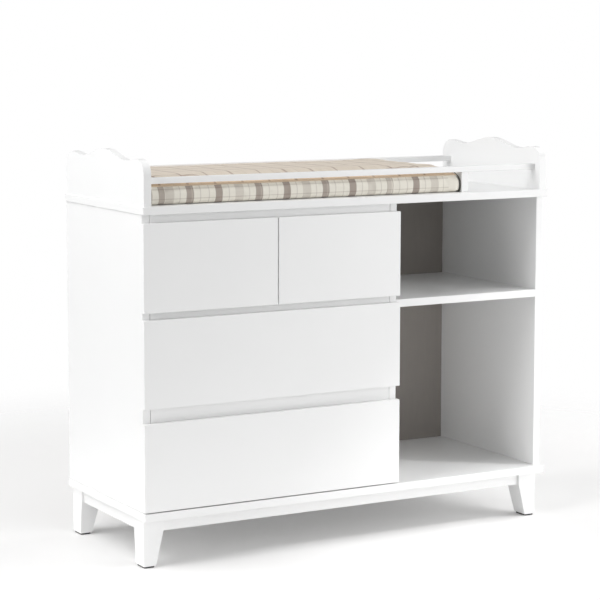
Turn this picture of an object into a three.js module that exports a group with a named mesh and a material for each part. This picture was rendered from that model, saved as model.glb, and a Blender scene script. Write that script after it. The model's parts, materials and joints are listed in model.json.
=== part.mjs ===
// Changing table: a white cabinet on a low leg frame, with four drawers on the left, two open
// compartments on the right, and a gallery on top that holds a changing mat beside an open tray.
// Millimetres, +Z up. Everything is laid out from the left front corner of the boards at floor
// level: X to the right, Y to the back. The origin is then put on the floor under the centre.
import * as THREE from 'three';

// Driving dimensions
const WIDTH = 1200;
const DEPTH = 480;
const TABLE_HEIGHT = 900; // floor to the surface that the mat lies on
const BOARD = 20; // top and bottom boards
const PANEL = 20; // upright panels, shelf, rails and gallery panels
const SIDE_INSET = 3; // side panels in from the ends of the boards
const BACK_PANEL = 5;
const BOTTOM_BOARD_TOP = 143;
const SHELF_TOP = 627;

// Drawers
const FRONT = 15; // thickness of a drawer front
const FRONT_GAP = 2; // between a closed front and the edges of the panels behind it
const FRONTS_WIDTH = 734; // all fronts together, from the left edge
const UPPER_SPLIT = 372.5; // middle of the gap between the two small fronts
const SPLIT_GAP = 3;
const TIERS = {
  lower: [146, 366],
  middle: [402.5, 622],
  upper: [639.5, 859.5],
};
const BOX_RISE = 26.5; // underside of a drawer box above the lower edge of its front
const BOX_HEIGHT = 168;
const BOX_DEPTH = 420;
const BOX_BOARD = 12;
const BOX_BOTTOM = 6;
const BOX_BOTTOM_RISE = 8;
const RUNNER_SPACE = 12.5; // each side of a drawer box
const RUNNER = { width: 6, height: 45, sheet: 1.5, length: 400, rise: 60 };
const RAIL_OVERLAP = 20; // a grip rail reaches this far behind the fronts above and below it
const RAIL_JOINT = 1; // open joint at each end of a grip rail

// Leg frame
const LEG = { width: 54, depth: 57, footWidth: 33, footDepth: 49 };
const LEG_INSET = { side: 8, back: 12, front: 27 }; // from the edges of the boards
const APRON = { height: 34, thickness: 18, recess: 7 };
const GLIDE = { height: 4, margin: 2, corner: 6 };

// Gallery and mat
const GALLERY_INSET = 3;
const GALLERY = { corner: 38, bump: 114, dip: 107.5, crest: 130, dipPlace: 107 };
const GALLERY_RAIL = { bottom: 53, top: 68, depth: 18, inset: 27 };
const TRAY_LEFT = 941; // left face of the gallery divider
const MAT = { left: 25, right: 936, front: 46.5, back: 433.5, height: 69.5, lift: 0.5 };
const MAT_CORNER = 20;
const MAT_ROUNDING = 14;

const CARCASS_FRONT = FRONT + FRONT_GAP;
const CARCASS_LEFT = SIDE_INSET + PANEL; // inner face of the left side panel
const TOP_BOARD_BOTTOM = TABLE_HEIGHT - BOARD;
const BOTTOM_BOARD_BOTTOM = BOTTOM_BOARD_TOP - BOARD;
const PARTITION = [FRONTS_WIDTH - 2 - PANEL, FRONTS_WIDTH - 2];
const UPPER_DIVIDER = [UPPER_SPLIT - PANEL / 2, UPPER_SPLIT + PANEL / 2];

const X_AXIS = new THREE.Vector3(1, 0, 0);
const Y_AXIS = new THREE.Vector3(0, 1, 0);
const Z_AXIS = new THREE.Vector3(0, 0, 1);

const table = new THREE.Group();
table.position.set(-WIDTH / 2, -DEPTH / 2, 0);

function group(x = 0, y = 0, z = 0) {
  const child = new THREE.Group();
  child.position.set(x, y, z);
  table.add(child);
  return child;
}

function finish(color, roughness, metalness = 0) {
  return () => new THREE.MeshStandardMaterial({ color, roughness, metalness });
}

const whiteLacquer = finish(0xf3f3f1, 0.35);
const whiteMelamine = finish(0xeeeeec, 0.5);
const steel = finish(0xa9acb0, 0.35, 1);
const darkPlastic = finish(0x2b2a29, 0.6);
const plaidFabric = finish(0xdccfba, 0.9);

function add(parent, name, geometry, surface) {
  const mesh = new THREE.Mesh(geometry, surface());
  mesh.name = name;
  parent.add(mesh);
  return mesh;
}

// A flat board, from its extents [from, to] along X, Y and Z.
function board(parent, name, x, y, z, surface = whiteLacquer) {
  const size = [x, y, z].map(([from, to]) => to - from);
  const mesh = add(parent, name, new THREE.BoxGeometry(...size), surface);
  mesh.position.set((x[0] + x[1]) / 2, (y[0] + y[1]) / 2, (z[0] + z[1]) / 2);
  return mesh;
}

// The same extent on the other side of the table.
function mirrored([from, to], whole) {
  return [whole - to, whole - from];
}

function roundedRectangle([left, right], [front, back], radius) {
  const shape = new THREE.Shape();
  shape.absarc(right - radius, front + radius, radius, -Math.PI / 2, 0);
  shape.absarc(right - radius, back - radius, radius, 0, Math.PI / 2);
  shape.absarc(left + radius, back - radius, radius, Math.PI / 2, Math.PI);
  shape.absarc(left + radius, front + radius, radius, Math.PI, 1.5 * Math.PI);
  return shape;
}

// A closed body through rectangles [x extent, y extent, z], from the lowest to the highest.
function loft(rectangles) {
  const vertices = rectangles.flatMap(([[left, right], [front, back], z]) => [
    left, front, z, right, front, z, right, back, z, left, back, z,
  ]);
  const faces = [0, 2, 1, 0, 3, 2];
  for (let ring = 0; ring < rectangles.length - 1; ring += 1) {
    for (let side = 0; side < 4; side += 1) {
      const a = ring * 4 + side;
      const b = ring * 4 + ((side + 1) % 4);
      faces.push(a, b, b + 4, a, b + 4, a + 4);
    }
  }
  const top = (rectangles.length - 1) * 4;
  faces.push(top, top + 1, top + 2, top, top + 2, top + 3);
  const geometry = new THREE.BufferGeometry();
  geometry.setAttribute('position', new THREE.Float32BufferAttribute(vertices, 3));
  geometry.setIndex(faces);
  return geometry;
}

function makeCabinet() {
  const cabinet = group();
  const between = [BOTTOM_BOARD_TOP, TOP_BOARD_BOTTOM];
  const left = [SIDE_INSET, CARCASS_LEFT];
  const right = mirrored(left, WIDTH);
  const inside = [CARCASS_FRONT, DEPTH - BACK_PANEL];
  board(cabinet, 'bottom_board', [0, WIDTH], [0, DEPTH], [BOTTOM_BOARD_BOTTOM, BOTTOM_BOARD_TOP]);
  board(cabinet, 'top_board', [0, WIDTH], [0, DEPTH], [TOP_BOARD_BOTTOM, TABLE_HEIGHT]);
  board(cabinet, 'side_panel_left', left, [CARCASS_FRONT, DEPTH], between);
  board(cabinet, 'side_panel_right', right, [CARCASS_FRONT, DEPTH], between);
  board(cabinet, 'partition_panel', PARTITION, inside, between);
  board(cabinet, 'back_panel', [left[1], right[0]], [inside[1], DEPTH], between, whiteMelamine);
  board(cabinet, 'shelf_board', [PARTITION[1], right[0]], inside, [SHELF_TOP - PANEL, SHELF_TOP]);
}

// Rails close the gaps between the fronts, so that each gap is a groove to grip a drawer by.
function makeGripRails() {
  const rails = group();
  const across = [CARCASS_LEFT + RAIL_JOINT, PARTITION[0] - RAIL_JOINT];
  const deep = [CARCASS_FRONT, CARCASS_FRONT + PANEL];
  const heights = {
    lower: [TIERS.lower[1] - RAIL_OVERLAP, TIERS.middle[0] + RAIL_OVERLAP],
    middle: [TIERS.middle[1] - RAIL_OVERLAP, TIERS.upper[0] + RAIL_OVERLAP],
    top: [TIERS.upper[1] - RAIL_OVERLAP, TOP_BOARD_BOTTOM],
  };
  for (const [place, height] of Object.entries(heights)) {
    board(rails, `grip_rail_${place}`, across, deep, height);
  }
  const behindRails = [deep[1], DEPTH - BACK_PANEL];
  const dividerHeight = [heights.middle[0], TOP_BOARD_BOTTOM];
  board(rails, 'drawer_divider', UPPER_DIVIDER, behindRails, dividerHeight, whiteMelamine);
}

// A runner member is a C channel along Y, open towards the drawer it carries.
function makeRunner(parent, name, wall, towards, middle) {
  const { width, height, sheet, length } = RUNNER;
  const half = height / 2;
  const profile = new THREE.Shape([
    new THREE.Vector2(0, -half),
    new THREE.Vector2(towards * width, -half),
    new THREE.Vector2(towards * width, sheet - half),
    new THREE.Vector2(towards * sheet, sheet - half),
    new THREE.Vector2(towards * sheet, half - sheet),
    new THREE.Vector2(towards * width, half - sheet),
    new THREE.Vector2(towards * width, half),
    new THREE.Vector2(0, half),
  ]);
  const geometry = new THREE.ExtrudeGeometry(profile, { depth: length, bevelEnabled: false });
  geometry.applyMatrix4(new THREE.Matrix4().makeBasis(X_AXIS, Z_AXIS, Y_AXIS.clone().negate()));
  const mesh = add(parent, name, geometry, steel);
  mesh.position.set(wall, CARCASS_FRONT + 3 + length, middle);
}

// A drawer: a front over the edges of the cabinet, and a box that hangs between two runners.
function makeDrawer(place, frontAcross, opening, tier) {
  const drawer = group();
  const name = `drawer_${place}`;
  const bottom = tier[0] + BOX_RISE;
  const height = [bottom, bottom + BOX_HEIGHT];
  const deep = [FRONT, FRONT + BOX_DEPTH];
  const across = [opening[0] + RUNNER_SPACE, opening[1] - RUNNER_SPACE];
  const left = [across[0], across[0] + BOX_BOARD];
  const right = [across[1] - BOX_BOARD, across[1]];
  const inside = [left[1], right[0]];
  const floor = [bottom + BOX_BOTTOM_RISE, bottom + BOX_BOTTOM_RISE + BOX_BOTTOM];
  board(drawer, `${name}_front`, frontAcross, [0, FRONT], tier);
  board(drawer, `${name}_side_left`, left, deep, height, whiteMelamine);
  board(drawer, `${name}_side_right`, right, deep, height, whiteMelamine);
  board(drawer, `${name}_bottom`, inside, deep, floor, whiteMelamine);
  board(drawer, `${name}_back`, inside, [deep[1] - BOX_BOARD, deep[1]], [floor[1], height[1]],
    whiteMelamine);
  makeRunner(table, `runner_${place}_left`, opening[0], 1, bottom + RUNNER.rise);
  makeRunner(table, `runner_${place}_right`, opening[1], -1, bottom + RUNNER.rise);
}

function makeDrawers() {
  const whole = [0, FRONTS_WIDTH];
  const leftFront = [0, UPPER_SPLIT - SPLIT_GAP / 2];
  const rightFront = [UPPER_SPLIT + SPLIT_GAP / 2, FRONTS_WIDTH];
  makeDrawer('lower', whole, [CARCASS_LEFT, PARTITION[0]], TIERS.lower);
  makeDrawer('middle', whole, [CARCASS_LEFT, PARTITION[0]], TIERS.middle);
  makeDrawer('upper_left', leftFront, [CARCASS_LEFT, UPPER_DIVIDER[0]], TIERS.upper);
  makeDrawer('upper_right', rightFront, [UPPER_DIVIDER[1], PARTITION[0]], TIERS.upper);
}

// Each leg is square down to the aprons' lower edge, then tapers on its two inner faces.
function makeLegFrame() {
  const frame = group();
  const straightFrom = BOTTOM_BOARD_BOTTOM - APRON.height;
  const left = (width) => [LEG_INSET.side, LEG_INSET.side + width];
  const right = (width) => mirrored(left(width), WIDTH);
  const front = (depth) => [LEG_INSET.front, LEG_INSET.front + depth];
  const back = (depth) => mirrored([LEG_INSET.back, LEG_INSET.back + depth], DEPTH);
  const corners = {
    front_left: (width, depth) => [left(width), front(depth)],
    front_right: (width, depth) => [right(width), front(depth)],
    back_left: (width, depth) => [left(width), back(depth)],
    back_right: (width, depth) => [right(width), back(depth)],
  };
  for (const [place, extents] of Object.entries(corners)) {
    const foot = extents(LEG.footWidth, LEG.footDepth);
    const square = extents(LEG.width, LEG.depth);
    const leg = loft([
      [...foot, GLIDE.height],
      [...square, straightFrom],
      [...square, BOTTOM_BOARD_BOTTOM],
    ]);
    add(frame, `leg_${place}`, leg, whiteLacquer);
    const pad = foot.map(([from, to]) => [from + GLIDE.margin, to - GLIDE.margin]);
    const glide = new THREE.ExtrudeGeometry(roundedRectangle(...pad, GLIDE.corner), {
      depth: GLIDE.height, bevelEnabled: false, curveSegments: 4,
    });
    add(frame, `glide_${place}`, glide, darkPlastic);
  }
  const height = [straightFrom, BOTTOM_BOARD_BOTTOM];
  const behind = (face) => [face + APRON.recess, face + APRON.recess + APRON.thickness];
  const across = [left(LEG.width)[1], right(LEG.width)[0]];
  const deep = [front(LEG.depth)[1], back(LEG.depth)[0]];
  board(frame, 'apron_front', across, behind(LEG_INSET.front), height);
  board(frame, 'apron_back', across, mirrored(behind(LEG_INSET.back), DEPTH), height);
  board(frame, 'apron_left', behind(LEG_INSET.side), deep, height);
  board(frame, 'apron_right', mirrored(behind(LEG_INSET.side), WIDTH), deep, height);
}

// Half a wave from one height to another, level at both ends.
function easePoints(from, to, steps) {
  const points = [];
  for (let step = 1; step <= steps; step += 1) {
    const part = step / steps;
    const rise = (1 - Math.cos(Math.PI * part)) / 2;
    const x = from[0] + (to[0] - from[0]) * part;
    points.push(new THREE.Vector2(x, from[1] + (to[1] - from[1]) * rise));
  }
  return points;
}

// The outline of a gallery end, seen from the left: a round corner, a low bump, a dip and a
// crest in the middle, and the same again to the back.
function galleryEndOutline() {
  const { corner, bump, dip, crest, dipPlace } = GALLERY;
  const front = GALLERY_INSET;
  const back = DEPTH - GALLERY_INSET;
  const middle = DEPTH / 2;
  const shape = new THREE.Shape();
  shape.moveTo(back, 0);
  shape.lineTo(front, 0);
  shape.absarc(front + corner, bump - corner, corner, Math.PI, Math.PI / 2, true);
  const wave = [
    ...easePoints([front + corner, bump], [dipPlace, dip], 8),
    ...easePoints([dipPlace, dip], [middle, crest], 14),
    ...easePoints([middle, crest], [DEPTH - dipPlace, dip], 14),
    ...easePoints([DEPTH - dipPlace, dip], [back - corner, bump], 8),
  ];
  wave.pop();
  for (const point of wave) shape.lineTo(point.x, point.y);
  shape.absarc(back - corner, bump - corner, corner, Math.PI / 2, 0, true);
  return shape;
}

function makeGallery() {
  const gallery = group(0, 0, TABLE_HEIGHT);
  const left = [GALLERY_INSET, GALLERY_INSET + PANEL];
  const right = mirrored(left, WIDTH);
  for (const [side, across] of Object.entries({ left, right })) {
    const end = new THREE.ExtrudeGeometry(galleryEndOutline(), {
      depth: PANEL, bevelEnabled: false, curveSegments: 10,
    });
    end.applyMatrix4(new THREE.Matrix4().makeBasis(Y_AXIS, Z_AXIS, X_AXIS));
    const mesh = add(gallery, `gallery_end_${side}`, end, whiteLacquer);
    mesh.position.x = across[0];
  }
  const { bottom, top, depth, inset } = GALLERY_RAIL;
  const between = [left[1], right[0]];
  const front = [inset, inset + depth];
  board(gallery, 'gallery_front_rail', between, front, [bottom, top]);
  board(gallery, 'gallery_back_rail', between, mirrored(front, DEPTH), [bottom, top]);
  const divider = [TRAY_LEFT, TRAY_LEFT + PANEL];
  board(gallery, 'gallery_divider', divider, [inset, DEPTH - inset], [0, bottom]);
}

function makeMat() {
  const outline = roundedRectangle([MAT.left, MAT.right], [MAT.front, MAT.back], MAT_CORNER);
  const pad = new THREE.ExtrudeGeometry(outline, {
    depth: MAT.height - 2 * MAT_ROUNDING,
    bevelThickness: MAT_ROUNDING,
    bevelSize: MAT_ROUNDING,
    bevelOffset: -MAT_ROUNDING,
    bevelSegments: 4,
    curveSegments: 6,
  });
  const mesh = add(table, 'changing_mat', pad, plaidFabric);
  mesh.position.z = TABLE_HEIGHT + MAT.lift + MAT_ROUNDING;
}

makeCabinet();
makeGripRails();
makeDrawers();
makeLegFrame();
makeGallery();
makeMat();

export default table;
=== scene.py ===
"""Looks of the changing table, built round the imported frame.

Metres, +Z up. The drawer fronts face -Y and the open compartments are on the +X side.
"""

import json
import math

import bmesh
import bpy
from mathutils import Matrix, Vector, noise


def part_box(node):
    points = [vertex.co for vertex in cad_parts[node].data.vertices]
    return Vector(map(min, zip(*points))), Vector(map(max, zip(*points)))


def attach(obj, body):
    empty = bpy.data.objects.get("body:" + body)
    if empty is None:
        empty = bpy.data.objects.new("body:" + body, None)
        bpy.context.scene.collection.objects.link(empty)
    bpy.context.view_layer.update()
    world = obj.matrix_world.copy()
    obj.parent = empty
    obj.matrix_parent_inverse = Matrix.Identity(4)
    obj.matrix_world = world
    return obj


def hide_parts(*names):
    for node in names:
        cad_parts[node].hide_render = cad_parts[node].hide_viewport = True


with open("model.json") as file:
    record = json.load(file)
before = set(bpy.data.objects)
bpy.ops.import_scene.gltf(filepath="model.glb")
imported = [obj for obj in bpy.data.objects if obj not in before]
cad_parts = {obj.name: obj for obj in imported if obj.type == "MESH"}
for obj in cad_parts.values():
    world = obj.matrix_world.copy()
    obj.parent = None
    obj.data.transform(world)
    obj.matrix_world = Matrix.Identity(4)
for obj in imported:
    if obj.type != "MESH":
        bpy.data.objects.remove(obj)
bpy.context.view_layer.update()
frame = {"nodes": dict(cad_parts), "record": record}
nodes = frame["nodes"]

MM = 0.001
DRAWERS = ("lower", "middle", "upper_left", "upper_right")
WHITE = (1.0, 1.0, 1.0, 1.0)


# ---------------------------------------------------------------- camera, light and floor

CAMERA_PLACE = Vector((-2.6968, -4.7243, 1.3258))
CAMERA_YAW = math.radians(-29.441)
CAMERA_PITCH = math.radians(90 - 6.170)
CAMERA_ROLL = math.radians(0.09)
CAMERA_LENS = 123.2
SENSOR_WIDTH = 36.0
CAMERA_SHIFT = -0.08
# the floor is solid out to the first distance and has faded away at the second
FLOOR_FADE = 0.9
FLOOR_RADIUS = 2.4
AMBIENT_LIGHT = 0.28
BACKGROUND_LIGHT = 1.0
BIG_SOFTBOX = (3.0, 3.0)
SMALL_SOFTBOX = (1.0, 0.8)
SOFTBOX_TARGET = Vector((0.0, 0.0, 0.5))
# name, place in metres, size and power in watts
SOFTBOXES = (
    ("softbox_top_left", (-2.5, 0.0, 3.5), BIG_SOFTBOX, 92),
    ("softbox_top_right", (2.5, 0.0, 3.5), BIG_SOFTBOX, 48),
    ("softbox_back_left", (-3.0, 3.0, 2.0), BIG_SOFTBOX, 12),
    ("softbox_left", (-4.0, -0.5, 1.5), BIG_SOFTBOX, 56),
    ("softbox_right", (4.0, -0.5, 1.5), BIG_SOFTBOX, 60),
    ("softbox_right_front", (3.5, -3.5, 1.5), BIG_SOFTBOX, 105),
    ("softbox_low_right", (2.2, -2.2, 0.5), SMALL_SOFTBOX, 5),
)
LAMP_PLACE = Vector((1.5, -1.0, 1.6))
LAMP_TARGET = Vector((0.27, -0.24, 0.14))
LAMP_POWER = 60
LAMP_CONE = math.radians(18)


def make_camera():
    data = bpy.data.cameras.new("camera")
    data.lens = CAMERA_LENS
    data.sensor_width = SENSOR_WIDTH
    data.shift_y = CAMERA_SHIFT
    data.clip_start = 0.05
    data.clip_end = 100.0
    camera = bpy.data.objects.new("camera", data)
    turn = (
        Matrix.Rotation(CAMERA_YAW, 4, "Z")
        @ Matrix.Rotation(CAMERA_PITCH, 4, "X")
        @ Matrix.Rotation(CAMERA_ROLL, 4, "Z")
    )
    camera.matrix_world = Matrix.Translation(CAMERA_PLACE) @ turn
    bpy.context.scene.collection.objects.link(camera)
    bpy.context.scene.camera = camera


def add_light(name, data, place, target):
    """Stands a light at a place and turns it to a target."""
    light = bpy.data.objects.new(name, data)
    light.location = place
    light.rotation_euler = (target - place).to_track_quat("-Z", "Y").to_euler()
    bpy.context.scene.collection.objects.link(light)
    return light


def make_softbox(name, place, size, power):
    data = bpy.data.lights.new(name, "AREA")
    data.shape = "RECTANGLE"
    data.size, data.size_y = size
    data.energy = power
    light = add_light(name, data, Vector(place), SOFTBOX_TARGET)
    light.visible_camera = False


def make_lamp():
    """A narrow lamp from the upper right that brightens the lower corner of the drawer fronts."""
    data = bpy.data.lights.new("lamp_right", "SPOT")
    data.energy = LAMP_POWER
    data.spot_size = LAMP_CONE
    data.spot_blend = 0.4
    data.shadow_soft_size = 0.12
    add_light("lamp_right", data, LAMP_PLACE, LAMP_TARGET)


def make_world():
    """A white studio: bright to the camera, and a softer light from all round on the object."""
    world = bpy.data.worlds.new("studio")
    bpy.context.scene.world = world
    world.use_nodes = True
    tree = world.node_tree
    background = tree.nodes["Background"]
    background.inputs["Color"].default_value = WHITE
    ray = tree.nodes.new("ShaderNodeLightPath")
    strength = tree.nodes.new("ShaderNodeMapRange")
    strength.inputs["To Min"].default_value = AMBIENT_LIGHT
    strength.inputs["To Max"].default_value = BACKGROUND_LIGHT
    tree.links.new(ray.outputs["Is Camera Ray"], strength.inputs["Value"])
    tree.links.new(strength.outputs["Result"], background.inputs["Strength"])


def make_light():
    for name, place, size, power in SOFTBOXES:
        make_softbox(name, place, size, power)
    make_lamp()
    bpy.context.scene.view_settings.view_transform = "Standard"


def make_floor():
    """A round white floor that fades out into the background, so that it has no horizon."""
    mesh = bpy.data.meshes.new("floor")
    disc = bmesh.new()
    bmesh.ops.create_circle(disc, cap_ends=True, segments=96, radius=FLOOR_RADIUS)
    disc.to_mesh(mesh)
    disc.free()
    floor = bpy.data.objects.new("floor", mesh)
    bpy.context.scene.collection.objects.link(floor)
    surface = Surface("floor_paint")
    surface.set(Base_Color=(0.945, 0.941, 0.937, 1.0), Roughness=0.6, Specular_IOR_Level=0.2)
    distance = surface.add("VectorMath", operation="LENGTH")
    surface.plug(surface.add("TexCoord").outputs["Object"], distance.inputs["Vector"])
    away = distance.outputs["Value"]
    solid = surface.spread(away, FLOOR_FADE, FLOOR_RADIUS, 1.0, 0.0, kind="SMOOTHSTEP")
    surface.plug(solid, surface.shader.inputs["Alpha"])
    mesh.materials.append(surface.material)


# ---------------------------------------------------------------- sizes of the mat

mat_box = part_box("changing_mat")
MAT_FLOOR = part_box("top_board")[1].z
# how far the profile's widest ring stands past the CAD solid, at the long sides and the ends
MAT_BULGE = 16.5 * MM
MAT_END_GROWTH = 1.5 * MM
MAT_CORNER = 6 * MM
CORNER_STEPS = 5
RING_SPACING = 20 * MM
SEAM_HEIGHT = 46 * MM
PIPING_RADIUS = 1.7 * MM
PIPING_PROUD = 0.7 * MM
GAP_SHADE_RADIUS = 1.2 * MM
GAP_SHADE_PROUD = 3.0 * MM
GAP_SHADE_INSET = 1.5 * MM
GAP_SHADE_PARTS = 20
# heights over the board at which the dark tube of painted gap shade follows the cover's profile, in
# mm
GAP_SHADE_HEIGHTS = (2.2, 4, 7, 12, 20, 28, 36, 42, 46, 49, 52, 54, 56)
# height over the board, how far the long sides draw in and how far the ends do, all in mm
MAT_PROFILE = (
    (0.8, 6.0, 5.0),
    (2.5, 3.0, 2.5),
    (5.0, 1.2, 1.2),
    (10.0, 0.4, 0.4),
    (17.0, 0.1, 0.1),
    (25.0, 0.0, 0.0),
    (32.0, 1.5, 0.8),
    (38.0, 4.5, 2.2),
    (43.0, 8.5, 3.6),
    (46.0, 11.5, 4.8),
    (49.0, 14.0, 6.5),
    (52.0, 16.8, 9.0),
    (55.0, 19.5, 12.5),
    (58.0, 23.0, 17.0),
    (60.5, 29.0, 24.0),
    (62.5, 39.0, 35.0),
    (64.0, 55.0, 52.0),
    (65.2, 80.0, 78.0),
    (66.0, 110.0, 108.0),
    (66.4, 145.0, 143.0),
)
VOXEL = 6 * MM
SWELL_LIMIT = 6 * MM
CLOTH_FRAMES = 20
# the cloth is held this near the seam, and below this height over the board
SEAM_HELD = 3.2 * MM
FLOOR_HELD = 2.5 * MM
# heights over which the folds fade in from the seam, and the band's ripples from the board
FOLD_FADE = 10 * MM
RIPPLE_FADE = 12 * MM
PUCKER_PITCH = 17 * MM
PUCKER_OFFSET = 5 * MM
PUCKER_WIDTH = 4 * MM
# heights of the folds, in mm
SLANT_FOLD = 2.0
BROAD_FOLD = 1.2
RIPPLE = 0.9
PUCKER = 0.35
# how far past the CAD solid the cover may reach at its sides, left end, right end and top
SIDE_SPARE = 1.0 * MM
LEFT_SPARE = 1.2 * MM
RIGHT_SPARE = 1.7 * MM
TOP_SPARE = 1.5 * MM
BOARD_CLEAR = 0.5 * MM
# a gap kept to the rails, and the slope over which the bulge draws in under them
RAIL_CLEAR = 1.5 * MM
RAIL_EASE_START = 9 * MM
RAIL_EASE = 6 * MM


# ---------------------------------------------------------------- materials


class Surface:
    """A material under construction: its node tree and short calls to add to it."""

    def __init__(self, name):
        self.material = bpy.data.materials.new(name)
        self.material.use_nodes = True
        self.tree = self.material.node_tree
        self.shader = self.tree.nodes["Principled BSDF"]

    def set(self, **values):
        for name, value in values.items():
            self.shader.inputs[name.replace("_", " ")].default_value = value

    def add(self, kind, **settings):
        node = self.tree.nodes.new("ShaderNode" + kind)
        for name, value in settings.items():
            setattr(node, name, value)
        return node

    def plug(self, value, socket):
        if isinstance(value, bpy.types.NodeSocket):
            self.tree.links.new(value, socket)
        else:
            socket.default_value = value

    def math(self, operation, *values):
        node = self.add("Math", operation=operation)
        for value, socket in zip(values, node.inputs):
            self.plug(value, socket)
        return node.outputs["Value"]

    def split(self, space):
        """The X, Y and Z of the place or the normal, in the object's own space."""
        node = self.add("SeparateXYZ")
        self.plug(self.add("TexCoord").outputs[space], node.inputs["Vector"])
        return [node.outputs[name] for name in "XYZ"]

    def spread(self, value, low, high, to_low, to_high, kind="LINEAR"):
        """Maps the span from low to high onto the span from to_low to to_high, held at its ends."""
        node = self.add("MapRange", interpolation_type=kind)
        self.plug(value, node.inputs["Value"])
        names = ("From Min", "From Max", "To Min", "To Max")
        for name, number in zip(names, (low, high, to_low, to_high)):
            node.inputs[name].default_value = number
        return node.outputs["Result"]

    def choose(self, part, first, second):
        """A number that goes from the first to the second value as the part goes from 0 to 1."""
        node = self.add("Mix", data_type="FLOAT")
        for name, value in (("Factor", part), ("A", first), ("B", second)):
            self.plug(value, node.inputs[name])
        return node.outputs["Result"]

    def mix(self, part, first, second):
        """A colour that goes from the first to the second as the part goes from 0 to 1."""
        node = self.add("Mix", data_type="RGBA")
        self.plug(part, node.inputs["Factor"])
        colors = [socket for socket in node.inputs if socket.type == "RGBA"]
        self.plug(first, colors[0])
        self.plug(second, colors[1])
        return next(socket for socket in node.outputs if socket.type == "RGBA")

    def noise(self, scale, detail=2.0, stretch=(1.0, 1.0, 1.0)):
        place = self.add("TexCoord").outputs["Object"]
        mapping = self.add("Mapping")
        mapping.inputs["Scale"].default_value = stretch
        self.plug(place, mapping.inputs["Vector"])
        node = self.add("TexNoise")
        self.plug(mapping.outputs["Vector"], node.inputs["Vector"])
        node.inputs["Scale"].default_value = scale
        node.inputs["Detail"].default_value = detail
        return node.outputs["Fac"]

    def paint(self, color, roughness):
        self.plug(color, self.shader.inputs["Base Color"])
        self.plug(roughness, self.shader.inputs["Roughness"])

    def bump(self, height, distance, strength):
        node = self.add("Bump")
        self.plug(height, node.inputs["Height"])
        node.inputs["Distance"].default_value = distance
        node.inputs["Strength"].default_value = strength
        self.plug(node.outputs["Normal"], self.shader.inputs["Normal"])


def make_lacquer():
    """Sprayed satin lacquer: a fine orange peel, and a sheen that varies a little over a board."""
    surface = Surface("white_lacquer_paint")
    tone = surface.noise(3.0, detail=3.0)
    color = surface.mix(tone, (0.865, 0.868, 0.868, 1), (0.895, 0.897, 0.895, 1))
    surface.paint(color, surface.spread(surface.noise(14.0, detail=4.0), 0.3, 0.7, 0.30, 0.40))
    surface.bump(surface.noise(420.0, detail=2.0), 0.05 * MM, 0.5)
    surface.set(Coat_Weight=0.12, Coat_Roughness=0.18)
    return surface.material


def make_melamine():
    """Matt melamine with a very fine pearl texture."""
    surface = Surface("white_melamine_foil")
    tone = surface.noise(6.0, detail=3.0)
    color = surface.mix(tone, (0.83, 0.83, 0.825, 1), (0.86, 0.86, 0.855, 1))
    surface.paint(color, surface.spread(surface.noise(60.0, detail=4.0), 0.3, 0.7, 0.45, 0.60))
    surface.bump(surface.noise(1500.0, detail=2.0), 0.04 * MM, 0.6)
    return surface.material


def make_shaded_back_board():
    """Foil on fibreboard, its dark warm grey painted shade of the deep compartments, with a faint
    grain of long fibres under it.
    """
    surface = Surface("back_panel_painted_shade")
    fibre = surface.noise(90.0, detail=4.0, stretch=(1.0, 1.0, 0.15))
    color = surface.mix(fibre, (0.33, 0.305, 0.28, 1), (0.38, 0.35, 0.325, 1))
    surface.paint(color, surface.spread(fibre, 0.3, 0.7, 0.55, 0.7))
    surface.bump(surface.noise(1100.0, detail=2.0), 0.05 * MM, 0.6)
    return surface.material


def make_steel():
    """Zinc-plated sheet steel, drawn lengthways, with the faint clouds of the plating."""
    surface = Surface("zinc_steel")
    cloud = surface.noise(40.0, detail=4.0)
    color = surface.mix(cloud, (0.50, 0.51, 0.53, 1), (0.66, 0.67, 0.69, 1))
    drawn = surface.noise(900.0, detail=3.0, stretch=(1.0, 0.03, 1.0))
    surface.paint(color, surface.spread(drawn, 0.3, 0.7, 0.24, 0.42))
    surface.bump(drawn, 0.03 * MM, 0.4)
    surface.set(Metallic=1.0)
    return surface.material


def make_glide_plastic():
    """Dark moulded plastic, scuffed a little where it slides on the floor."""
    surface = Surface("glide_moulding")
    scuff = surface.spread(surface.noise(260.0, detail=4.0), 0.55, 0.75, 0.0, 1.0)
    color = surface.mix(scuff, (0.018, 0.017, 0.016, 1), (0.07, 0.068, 0.065, 1))
    surface.paint(color, surface.spread(scuff, 0, 1, 0.45, 0.7))
    surface.bump(surface.noise(1800.0), 0.04 * MM, 0.5)
    return surface.material


SETT = 193 * MM
SETT_START = -458.5 * MM
WEFT_START = 886 * MM
STRIPE_BLUR = 0.9 * MM
# place in the sett and half width, both in mm, and the share of the ground's light it keeps
STRIPES = (
    (0.0, 10.0, 0.45),
    (80.0, 10.0, 0.41),
    (137.0, 12.0, 0.78),
    (-28.0, 1.3, 0.80),
    (28.0, 1.3, 0.80),
    (52.0, 1.3, 0.80),
    (108.0, 1.3, 0.80),
    (5.0, 1.2, 1.30),
)
# single stripes: place across the mat and half width in mm, and the share of light
LONE_STRIPES_AND_FOLD_SHADE = (
    # painted shade: this dark line near the left end is the shade of a fold in the cloth, not a
    # stripe
    (-535.7, 8.0, 0.52),
    (122.0, 10.0, 1.5),
)
# the top panel has finer lines: their spacing, and place, half width and share as above
TOP_PITCH = 77 * MM
TOP_LINES = ((0.0, 3.2, 0.58), (38.0, 1.0, 0.85))
# the tan strip of painted shade from the rails, over the seam, ends at this height over the board
RAIL_SHADE_TOP = 58 * MM
RAIL_SHADE_BLUR = 2 * MM
# the last stretch at the right end has no stripes
PLAIN_END = 36 * MM
PLAIN_BLUR = 3 * MM
# a face whose normal leans this far along X belongs to an end of the mat
END_FACING = 0.75


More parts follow.
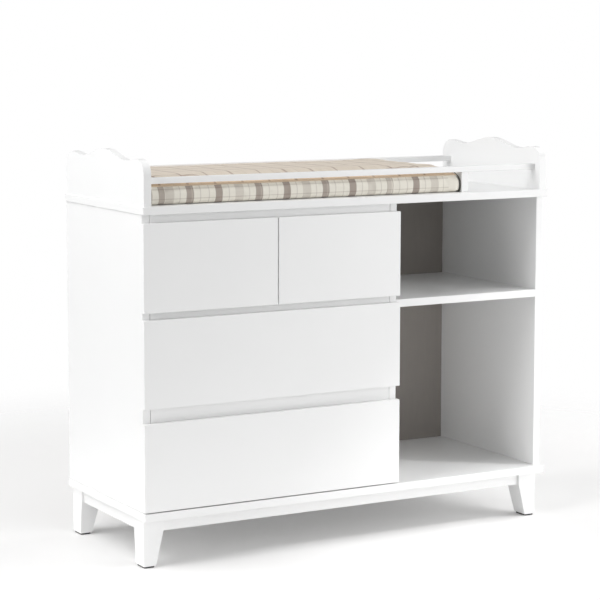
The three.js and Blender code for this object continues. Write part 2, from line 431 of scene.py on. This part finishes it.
def lay_stripe(surface, away, half, share):
    """The light one stripe keeps, for the distance from its middle line."""
    low, high = half * MM - STRIPE_BLUR, half * MM + STRIPE_BLUR
    return surface.spread(away, low, high, share, 1.0, kind="SMOOTHSTEP")


def lay_stripes(surface, along, start, stripes, pitch):
    """The light a set of repeating stripes keeps, for a place along their direction."""
    keep = 1.0
    for place, half, share in stripes:
        shifted = surface.math("SUBTRACT", along, start + place * MM)
        wrapped = surface.math("WRAP", shifted, pitch / 2, -pitch / 2)
        away = surface.math("ABSOLUTE", wrapped)
        keep = surface.math("MULTIPLY", keep, lay_stripe(surface, away, half, share))
    return keep


def lay_lone_stripes_and_fold_shade(surface, along):
    keep = 1.0
    for place, half, share in LONE_STRIPES_AND_FOLD_SHADE:
        away = surface.math("ABSOLUTE", surface.math("SUBTRACT", along, place * MM))
        keep = surface.math("MULTIPLY", keep, lay_stripe(surface, away, half, share))
    return keep


def lay_band(surface, across, deep, tall):
    """The plaid of the band: its warp runs round the sides, and its weft up them."""
    facing = surface.split("Normal")
    on_end = surface.math("GREATER_THAN", surface.math("ABSOLUTE", facing[0]), END_FACING)
    along = surface.choose(on_end, across, deep)
    warp = lay_stripes(surface, along, SETT_START, STRIPES, SETT)
    weft = lay_stripes(surface, tall, WEFT_START, STRIPES, SETT)
    keep = surface.math("MULTIPLY", warp, weft)
    return surface.math("MULTIPLY", keep, lay_lone_stripes_and_fold_shade(surface, across))


def lay_top(surface, across, deep):
    """The finer lines of the top panel, both ways."""
    warp = lay_stripes(surface, across, SETT_START, TOP_LINES, TOP_PITCH)
    weft = lay_stripes(surface, deep, 0.0, TOP_LINES, TOP_PITCH)
    return surface.math("MULTIPLY", warp, weft)


def lay_ground(surface, yarn, tall, on_top):
    """The cloth without its stripes: cream band, a tan strip over the seam painted as the rails'
    shade, and beige top.
    """
    band_cloth = surface.mix(yarn, (0.80, 0.765, 0.68, 1), (0.88, 0.85, 0.765, 1))
    top_cloth = surface.mix(yarn, (0.53, 0.465, 0.385, 1), (0.61, 0.54, 0.455, 1))
    ground = surface.mix(on_top, band_cloth, top_cloth)
    edge = MAT_FLOOR + RAIL_SHADE_TOP
    below = surface.spread(tall, edge - RAIL_SHADE_BLUR, edge + RAIL_SHADE_BLUR, 1.0, 0.0)
    # painted shade: the top panel's strip just over the seam is tinted tan all round, as the rails'
    # shade
    rail_shade = surface.math("MULTIPLY", below, on_top)
    return surface.mix(rail_shade, ground, (0.68, 0.53, 0.38, 1))


def make_plaid():
    """Brushed cotton plaid. The band round the sides runs upright, the top panel lies flat."""
    surface = Surface("plaid_cotton_fabric")
    across, deep, tall = surface.split("Object")
    on_top = surface.math("GREATER_THAN", tall, MAT_FLOOR + SEAM_HEIGHT)
    band = lay_band(surface, across, deep, tall)
    keep = surface.choose(on_top, band, lay_top(surface, across, deep))
    end = mat_box[1].x - PLAIN_END
    plain = surface.spread(across, end, end + PLAIN_BLUR, 0.0, 1.0, kind="SMOOTHSTEP")
    share = surface.choose(plain, keep, 1.0)
    slub = surface.noise(900.0, detail=2.0, stretch=(1.0, 0.08, 0.08))
    cross = surface.noise(900.0, detail=2.0, stretch=(0.08, 1.0, 1.0))
    halves = [surface.math("MULTIPLY", thread, 0.5) for thread in (slub, cross)]
    yarn = surface.math("ADD", *halves)
    ground = lay_ground(surface, yarn, tall, on_top)
    color = surface.mix(share, (0.10, 0.03, 0.02, 1), ground)
    surface.paint(color, surface.spread(surface.noise(700.0, detail=3.0), 0.3, 0.7, 0.82, 0.96))
    surface.bump(yarn, 0.25 * MM, 0.6)
    surface.set(Sheen_Weight=0.15, Sheen_Roughness=0.5, Specular_IOR_Level=0.2)
    return surface.material


def make_shaded_piping_cotton():
    """Plain bias tape, coloured tan as painted shade of the rails over the seam, with its twill
    running round the cord.
    """
    surface = Surface("piping_cotton_painted_shade")
    twill = surface.noise(1500.0, detail=2.0, stretch=(1.0, 0.3, 1.0))
    color = surface.mix(twill, (0.60, 0.47, 0.34, 1), (0.72, 0.58, 0.44, 1))
    surface.paint(color, surface.spread(twill, 0.3, 0.7, 0.8, 0.95))
    surface.bump(twill, 0.15 * MM, 0.6)
    surface.set(Sheen_Weight=0.1, Specular_IOR_Level=0.2)
    return surface.material


def make_gap_shade_paint():
    """Near-black nylon drawn as a zip coil, painted shade of the gap between the mat and the
    divider, with the coil's turns as a fine ribbing.
    """
    surface = Surface("gap_shade_paint")
    turns = surface.noise(1400.0, detail=1.0, stretch=(0.2, 1.0, 1.0))
    color = surface.mix(turns, (0.035, 0.031, 0.024, 1), (0.09, 0.082, 0.066, 1))
    surface.paint(color, surface.spread(turns, 0.3, 0.7, 0.5, 0.7))
    surface.bump(turns, 0.2 * MM, 0.8)
    return surface.material


def make_silicone():
    """Clear soft silicone of the bumpers, a little milky."""
    surface = Surface("bumper_silicone")
    haze = surface.noise(500.0, detail=2.0)
    color = surface.mix(haze, (0.80, 0.81, 0.80, 1), (0.88, 0.89, 0.88, 1))
    surface.paint(color, surface.spread(haze, 0.3, 0.7, 0.35, 0.5))
    surface.bump(haze, 0.03 * MM, 0.5)
    return surface.material


# ---------------------------------------------------------------- CAD nodes

WELD_GAP = 0.01 * MM
EDGE_ANGLE = math.radians(30)
EDGE_RADIUS = {
    "white_lacquer": 1.0 * MM,
    "white_melamine": 0.5 * MM,
    "runner_steel": 0.3 * MM,
    "glide_plastic": 0.8 * MM,
}


def make_plain_normals():
    """A modifier's node group: every face smooth, without the CAD's own normals and sharp marks."""
    group = bpy.data.node_groups.new("plain_normals", "GeometryNodeTree")
    group.interface.new_socket("Mesh", in_out="INPUT", socket_type="NodeSocketGeometry")
    group.interface.new_socket("Mesh", in_out="OUTPUT", socket_type="NodeSocketGeometry")
    start = group.nodes.new("NodeGroupInput")
    plain = group.nodes.new("GeometryNodeSetMeshNormal")
    plain.mode = "SHARPNESS"
    plain.inputs["Remove Custom"].default_value = True
    plain.inputs["Edge Sharpness"].default_value = False
    plain.inputs["Face Sharpness"].default_value = False
    end = group.nodes.new("NodeGroupOutput")
    group.links.new(start.outputs["Mesh"], plain.inputs["Mesh"])
    group.links.new(plain.outputs["Mesh"], end.inputs["Mesh"])
    return group


plain_normals = make_plain_normals()


def ease_edges(node, radius):
    """Rounds the sharp edges of a node and keeps its faces flat, all in modifiers."""
    plain = node.modifiers.new("plain_normals", "NODES")
    plain.node_group = plain_normals
    weld = node.modifiers.new("weld", "WELD")
    weld.merge_threshold = WELD_GAP
    bevel = node.modifiers.new("bevel", "BEVEL")
    bevel.width = radius
    bevel.segments = 3
    bevel.limit_method = "ANGLE"
    bevel.angle_limit = EDGE_ANGLE
    bevel.use_clamp_overlap = True
    normals = node.modifiers.new("normals", "WEIGHTED_NORMAL")
    normals.weight = 100
    normals.keep_sharp = False


def dress_cad_nodes(surfaces):
    """Edges and material for each rigid CAD node; a node's own material comes before its slot's."""
    slots = {row["node"]: row["material_slot"] for row in frame["record"]["subparts"]}
    for name, node in nodes.items():
        slot = slots[name]
        if slot not in EDGE_RADIUS:
            continue
        ease_edges(node, EDGE_RADIUS[slot])
        node.material_slots[0].material = surfaces.get(name, surfaces[slot])


# ---------------------------------------------------------------- mesh work

# a dome's upright foot as a share of its height, the rows up its round part, and its sides
DOME_FOOT = 0.35
DOME_STEPS = 4
DOME_SIDES = 16


def smooth_faces(mesh):
    for face in mesh.polygons:
        face.use_smooth = True


def make_piece(name, body, surface, build):
    """A new piece from a function that fills a bmesh; body is None where it has none."""
    mesh = bpy.data.meshes.new(name)
    shape = bmesh.new()
    build(shape)
    bmesh.ops.recalc_face_normals(shape, faces=shape.faces)
    shape.to_mesh(mesh)
    shape.free()
    smooth_faces(mesh)
    mesh.materials.append(surface)
    piece = bpy.data.objects.new(name, mesh)
    bpy.context.scene.collection.objects.link(piece)
    if body is not None:
        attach(piece, body)
    return piece


def bake_modifiers(piece):
    """Turns what the modifiers make now into the piece's own mesh."""
    graph = bpy.context.evaluated_depsgraph_get()
    mesh = bpy.data.meshes.new_from_object(piece.evaluated_get(graph))
    piece.modifiers.clear()
    piece.data = mesh


def join_rings(shape, rings):
    """Quads between neighbouring rings of vertices, which all have the same count."""
    for low, high in zip(rings, rings[1:]):
        for index in range(len(low)):
            after = (index + 1) % len(low)
            shape.faces.new((low[index], low[after], high[after], high[index]))


def add_circle(shape, centre, side, up, radius, sides):
    """New vertices round a circle, which starts at side and turns towards up."""
    circle = []
    for step in range(sides):
        turn = 2 * math.pi * step / sides
        spoke = side * math.cos(turn) + up * math.sin(turn)
        circle.append(shape.verts.new(centre + spoke * radius))
    return circle


def add_tube(shape, path, radius, sides=10):
    """A closed round tube along a closed path."""
    count = len(path)
    rings = []
    side = None
    for index, point in enumerate(path):
        ahead = (path[(index + 1) % count] - path[index - 1]).normalized()
        if side is None:
            side = ahead.orthogonal().normalized()
        side = (side - ahead * side.dot(ahead)).normalized()
        rings.append(add_circle(shape, point, side, ahead.cross(side), radius, sides))
    first, last = rings[0], rings[-1]
    shift = min(range(sides), key=lambda turn: (last[0].co - first[turn].co).length)
    join_rings(shape, rings)
    for index in range(sides):
        here, there = first[(index + shift) % sides], first[(index + shift + 1) % sides]
        shape.faces.new((last[index], last[(index + 1) % sides], there, here))


def add_dome(shape, centre, outward, radius, height):
    """A low round head: a short upright wall, then a dome, on a flat back."""
    outward = Vector(outward)
    side = outward.orthogonal().normalized()
    up = outward.cross(side)
    rows = [(1.0, 0.0), (1.0, DOME_FOOT)]
    for step in range(1, DOME_STEPS):
        turn = math.pi / 2 * step / DOME_STEPS
        rows.append((math.cos(turn), DOME_FOOT + (1 - DOME_FOOT) * math.sin(turn)))
    rings = []
    for wide, high in rows:
        middle = centre + outward * height * high
        rings.append(add_circle(shape, middle, side, up, radius * wide, DOME_SIDES))
    join_rings(shape, rings)
    shape.faces.new(rings[0])
    tip = shape.verts.new(centre + outward * height)
    for index in range(DOME_SIDES):
        shape.faces.new((rings[-1][index], rings[-1][(index + 1) % DOME_SIDES], tip))


# ---------------------------------------------------------------- changing mat


def clamp(value, low, high):
    return max(low, min(high, value))


def ramp(value, start, span):
    """Goes from 0 to 1 as the value goes on from start over the span."""
    return clamp((value - start) / span, 0.0, 1.0)


def side_parts():
    """Into how many parts each straight side is split, from the right end on."""
    size = mat_box[1] - mat_box[0]
    return (round(size.y / RING_SPACING), round(size.x / RING_SPACING)) * 2


def ring_points(height, side_inset, end_inset):
    """Points round the mat at one height: a rectangle with round corners."""
    low_x = mat_box[0].x - MAT_END_GROWTH + end_inset
    high_x = mat_box[1].x + MAT_END_GROWTH - end_inset
    low_y = mat_box[0].y - MAT_BULGE + side_inset
    high_y = mat_box[1].y + MAT_BULGE - side_inset
    corners = (
        (high_x - MAT_CORNER, low_y + MAT_CORNER, -90),
        (high_x - MAT_CORNER, high_y - MAT_CORNER, 0),
        (low_x + MAT_CORNER, high_y - MAT_CORNER, 90),
        (low_x + MAT_CORNER, low_y + MAT_CORNER, 180),
    )
    arcs = []
    for x, y, start in corners:
        arc = []
        for step in range(CORNER_STEPS + 1):
            turn = math.radians(start + 90 * step / CORNER_STEPS)
            spoke = Vector((math.cos(turn), math.sin(turn), 0.0)) * MAT_CORNER
            arc.append(Vector((x, y, height)) + spoke)
        arcs.append(arc)
    points = []
    for arc, after, parts in zip(arcs, arcs[1:] + arcs[:1], side_parts()):
        points.extend(arc)
        points.extend(arc[-1].lerp(after[0], part / parts) for part in range(1, parts))
    return points


def fill_mat(shape):
    rings = []
    for height, side_inset, end_inset in MAT_PROFILE:
        points = ring_points(MAT_FLOOR + height * MM, side_inset * MM, end_inset * MM)
        rings.append([shape.verts.new(point) for point in points])
    join_rings(shape, rings)
    shape.faces.new(rings[0])
    shape.faces.new(rings[-1])


def profile_at(height):
    """The two insets at a height over the board, in metres."""
    for low, high in zip(MAT_PROFILE, MAT_PROFILE[1:]):
        if height <= high[0]:
            part = (height - low[0]) / (high[0] - low[0])
            return [(low[k] + (high[k] - low[k]) * part) * MM for k in (1, 2)]
    return [inset * MM for inset in MAT_PROFILE[-1][1:]]


def swell(piece):
    """Blows the cover up as cloth, held at its seam and where it lies on the board."""
    mesh = piece.data
    start = [vertex.co.copy() for vertex in mesh.vertices]
    held = piece.vertex_groups.new(name="held")
    for vertex in mesh.vertices:
        height = vertex.co.z - MAT_FLOOR
        at_seam = abs(height - SEAM_HEIGHT) < SEAM_HELD
        if at_seam or height < FLOOR_HELD:
            held.add([vertex.index], 1.0, "REPLACE")
    cloth = piece.modifiers.new("cloth", "CLOTH")
    settings = cloth.settings
    settings.quality = 6
    settings.mass = 0.3
    settings.tension_stiffness = 12
    settings.compression_stiffness = 12
    settings.shear_stiffness = 6
    settings.bending_stiffness = 0.6
    settings.use_pressure = True
    settings.uniform_pressure_force = 4.0
    settings.shrink_min = -0.015
    settings.vertex_group_mass = "held"
    settings.effector_weights.gravity = 0.0
    cloth.collision_settings.use_collision = False
    cloth.point_cache.frame_start = 1
    cloth.point_cache.frame_end = CLOTH_FRAMES
    scene = bpy.context.scene
    for frame_number in range(1, CLOTH_FRAMES + 1):
        scene.frame_set(frame_number)
    bake_modifiers(piece)
    scene.frame_set(1)
    for vertex, place in zip(piece.data.vertices, start):
        move = vertex.co - place
        if move.length > SWELL_LIMIT:
            vertex.co = place + move.normalized() * SWELL_LIMIT
    piece.vertex_groups.clear()


def crease(piece):
    """Soft slanting folds on the top, and the small puckers the stitching leaves."""
    piece.data.update()
    normals = [vertex.normal.copy() for vertex in piece.data.vertices]
    for vertex, normal in zip(piece.data.vertices, normals):
        x, y = vertex.co.x, vertex.co.y
        height = vertex.co.z - MAT_FLOOR
        off_seam = abs(height - SEAM_HEIGHT)
        top = ramp(height, SEAM_HEIGHT, FOLD_FADE)
        band = ramp(-height, -SEAM_HEIGHT, FOLD_FADE) * min(1.0, height / RIPPLE_FADE)
        slant = noise.noise(Vector((x * 11 + y * 16, y * 7 - x * 3, 0.4)))
        broad = noise.noise(Vector((x * 5, y * 5, 7.7)))
        ripple = noise.noise(Vector((x * 24 + y * 10, height * 30, 3.1)))
        pucker = math.sin(2 * math.pi * (x + y) / PUCKER_PITCH + 3 * broad)
        near_seam = math.exp(-((off_seam - PUCKER_OFFSET) / PUCKER_WIDTH) ** 2)
        rise = top * (SLANT_FOLD * slant + BROAD_FOLD * broad)
        rise += band * RIPPLE * ripple + PUCKER * near_seam * pucker
        vertex.co += normal * rise * MM


def keep_clear(piece):
    """Holds the cover off the rails, the gallery end, the divider and the board."""
    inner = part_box("gallery_back_rail")[0].y - RAIL_CLEAR
    rail_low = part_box("gallery_back_rail")[0].z - MAT_FLOOR
    bulge = mat_box[1].y + MAT_BULGE + SIDE_SPARE
    for vertex in piece.data.vertices:
        place = vertex.co
        height = place.z - MAT_FLOOR
        part = ramp(height, rail_low - RAIL_EASE_START, RAIL_EASE)
        reach = bulge + (inner - bulge) * part
        place.x = clamp(place.x, mat_box[0].x - LEFT_SPARE, mat_box[1].x + RIGHT_SPARE)
        place.y = clamp(place.y, -reach, reach)
        place.z = clamp(place.z, MAT_FLOOR + BOARD_CLEAR, mat_box[1].z + TOP_SPARE)


def make_mat_cover(surface):
    cover = make_piece("mat_cover", None, surface, fill_mat)
    remesh = cover.modifiers.new("remesh", "REMESH")
    remesh.mode = "VOXEL"
    remesh.voxel_size = VOXEL
    remesh.use_smooth_shade = True
    bake_modifiers(cover)
    swell(cover)
    crease(cover)
    keep_clear(cover)
    smooth = cover.modifiers.new("subdivision", "SUBSURF")
    smooth.levels = smooth.render_levels = 1
    bake_modifiers(cover)
    keep_clear(cover)
    smooth_faces(cover.data)
    if not cover.data.materials:
        cover.data.materials.append(surface)
    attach(cover, "changing_mat")
    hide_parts("changing_mat")


def make_tube(name, surface, path, radius):
    """A tube that is sewn to the mat and goes where the mat goes."""
    make_piece(name, "changing_mat", surface, lambda shape: add_tube(shape, path, radius))


def make_mat_piping(surface):
    """Piping sewn into the seam between the band and the top panel, tan as painted shade of the
    rails.
    """
    side_inset, end_inset = profile_at(SEAM_HEIGHT / MM)
    side_inset -= PIPING_PROUD
    end_inset -= PIPING_PROUD
    path = ring_points(MAT_FLOOR + SEAM_HEIGHT, side_inset, end_inset)
    make_tube("mat_piping", surface, path, PIPING_RADIUS)


def make_mat_gap_shade(surface):
    """A dark tube drawn as a zip round the right end of the cover: painted shade of the gap between
    the mat and the divider.
    """
    front = []
    for height in GAP_SHADE_HEIGHTS:
        side_inset, end_inset = profile_at(height)
        x = mat_box[1].x + GAP_SHADE_PROUD - end_inset
        y = mat_box[0].y - MAT_BULGE + side_inset + GAP_SHADE_INSET
        front.append(Vector((x, y, MAT_FLOOR + height * MM)))
    behind = [Vector((point.x, -point.y, point.z)) for point in reversed(front)]
    parts = [step / GAP_SHADE_PARTS for step in range(1, GAP_SHADE_PARTS)]
    over = [front[-1].lerp(behind[0], part) for part in parts]
    under = [behind[-1].lerp(front[0], part) for part in parts]
    make_tube("mat_gap_shade_tube", surface, front + over + behind + under, GAP_SHADE_RADIUS)


# ---------------------------------------------------------------- hardware

SLIDE_GAP = 12.5 * MM
SLIDE_SHEET = 1.5 * MM
SLIDE_HALF_HEIGHT = 18 * MM
SLIDE_REACH = 3.5 * MM
SLIDE_PLAY = 0.2 * MM
SLIDE_END_GAP = 2 * MM
# the slide's screws, as shares of its length, and their heads
SLIDE_SCREWS = (0.12, 0.5, 0.88)
SLIDE_HEAD = (3.5 * MM, 1.6 * MM)
BUMPER_LEFT = 10 * MM
BUMPER_RIGHT = 12 * MM
BUMPER_END = 14 * MM
BUMPER_HEAD = (4 * MM, 1.5 * MM)
BACK_SCREW_SPACING = 140 * MM
BACK_SCREW_EDGE = 9 * MM
BACK_SCREW_HEAD = (3.2 * MM, 1.2 * MM)
SHELF_SCREW_GAPS = 4


def make_slide(name, drawer, surface):
    """The drawer's half of a runner: a channel that runs inside the cabinet's half."""
    low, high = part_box(name)
    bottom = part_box(drawer + "_bottom")
    leftwards = low.x + high.x < bottom[0].x + bottom[1].x
    wall = low.x if leftwards else high.x
    out = 1 if leftwards else -1
    middle = (low.z + high.z) / 2

    def build(shape):
        outer = wall + out * (SLIDE_GAP - SLIDE_PLAY)
        inner = outer - out * SLIDE_SHEET
        reach = wall + out * SLIDE_REACH
        edge = SLIDE_HALF_HEIGHT
        ends = (low.y + SLIDE_END_GAP, high.y - SLIDE_END_GAP)
        section = (
            (outer, middle - edge),
            (outer, middle + edge),
            (reach, middle + edge),
            (reach, middle + edge - SLIDE_SHEET),
            (inner, middle + edge - SLIDE_SHEET),
            (inner, middle - edge + SLIDE_SHEET),
            (reach, middle - edge + SLIDE_SHEET),
            (reach, middle - edge),
        )
        rings = [[shape.verts.new((x, y, z)) for x, z in section] for y in ends]
        join_rings(shape, rings)
        for ring in rings:
            shape.faces.new(ring)
        for part in SLIDE_SCREWS:
            place = Vector((inner, ends[0] + (ends[1] - ends[0]) * part, middle))
            add_dome(shape, place, (-out, 0, 0), *SLIDE_HEAD)

    piece = make_piece("slide_" + name, drawer, surface, build)
    ease_edges(piece, EDGE_RADIUS["runner_steel"])


def make_slides(surface):
    for level in DRAWERS:
        for side in ("left", "right"):
            make_slide("runner_%s_%s" % (level, side), "drawer_" + level, surface)


def make_bumpers(surface):
    """Soft dots behind each drawer front, where it meets the cabinet."""
    for level in DRAWERS:
        low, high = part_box("drawer_%s_front" % level)

        def build(shape):
            for x in (low.x + BUMPER_LEFT, high.x - BUMPER_RIGHT):
                for z in (low.z + BUMPER_END, high.z - BUMPER_END):
                    add_dome(shape, Vector((x, high.y, z)), (0, 1, 0), *BUMPER_HEAD)

        make_piece("bumpers_" + level, "drawer_" + level, surface, build)


def make_back_screws(surface):
    """Small pan heads that hold the back panel to the edges of the boards."""
    low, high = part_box("back_panel")
    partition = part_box("partition_panel")
    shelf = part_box("shelf_board")
    left, right = low.x + BACK_SCREW_EDGE, high.x - BACK_SCREW_EDGE
    bottom, top = low.z + BACK_SCREW_EDGE, high.z - BACK_SCREW_EDGE
    tall = round((high.z - low.z) / BACK_SCREW_SPACING)
    wide = round((high.x - low.x) / BACK_SCREW_SPACING)

    def places():
        for x in (left, (partition[0].x + partition[1].x) / 2, right):
            for step in range(tall + 1):
                yield x, bottom + (top - bottom) * step / tall
        for step in range(1, wide):
            for z in (bottom, top):
                yield left + (right - left) * step / wide, z
        for step in range(1, SHELF_SCREW_GAPS):
            x = shelf[0].x + (shelf[1].x - shelf[0].x) * step / SHELF_SCREW_GAPS
            yield x, (shelf[0].z + shelf[1].z) / 2

    def build(shape):
        for x, z in places():
            add_dome(shape, Vector((x, high.y, z)), (0, 1, 0), *BACK_SCREW_HEAD)

    make_piece("back_screws", "cabinet", surface, build)


make_camera()
make_world()
make_light()
make_floor()
surfaces = {
    "white_lacquer": make_lacquer(),
    "white_melamine": make_melamine(),
    "runner_steel": make_steel(),
    "glide_plastic": make_glide_plastic(),
    "back_panel": make_shaded_back_board(),
}
dress_cad_nodes(surfaces)
make_mat_cover(make_plaid())
make_mat_piping(make_shaded_piping_cotton())
make_mat_gap_shade(make_gap_shade_paint())
make_slides(surfaces["runner_steel"])
make_bumpers(make_silicone())
make_back_screws(surfaces["runner_steel"])
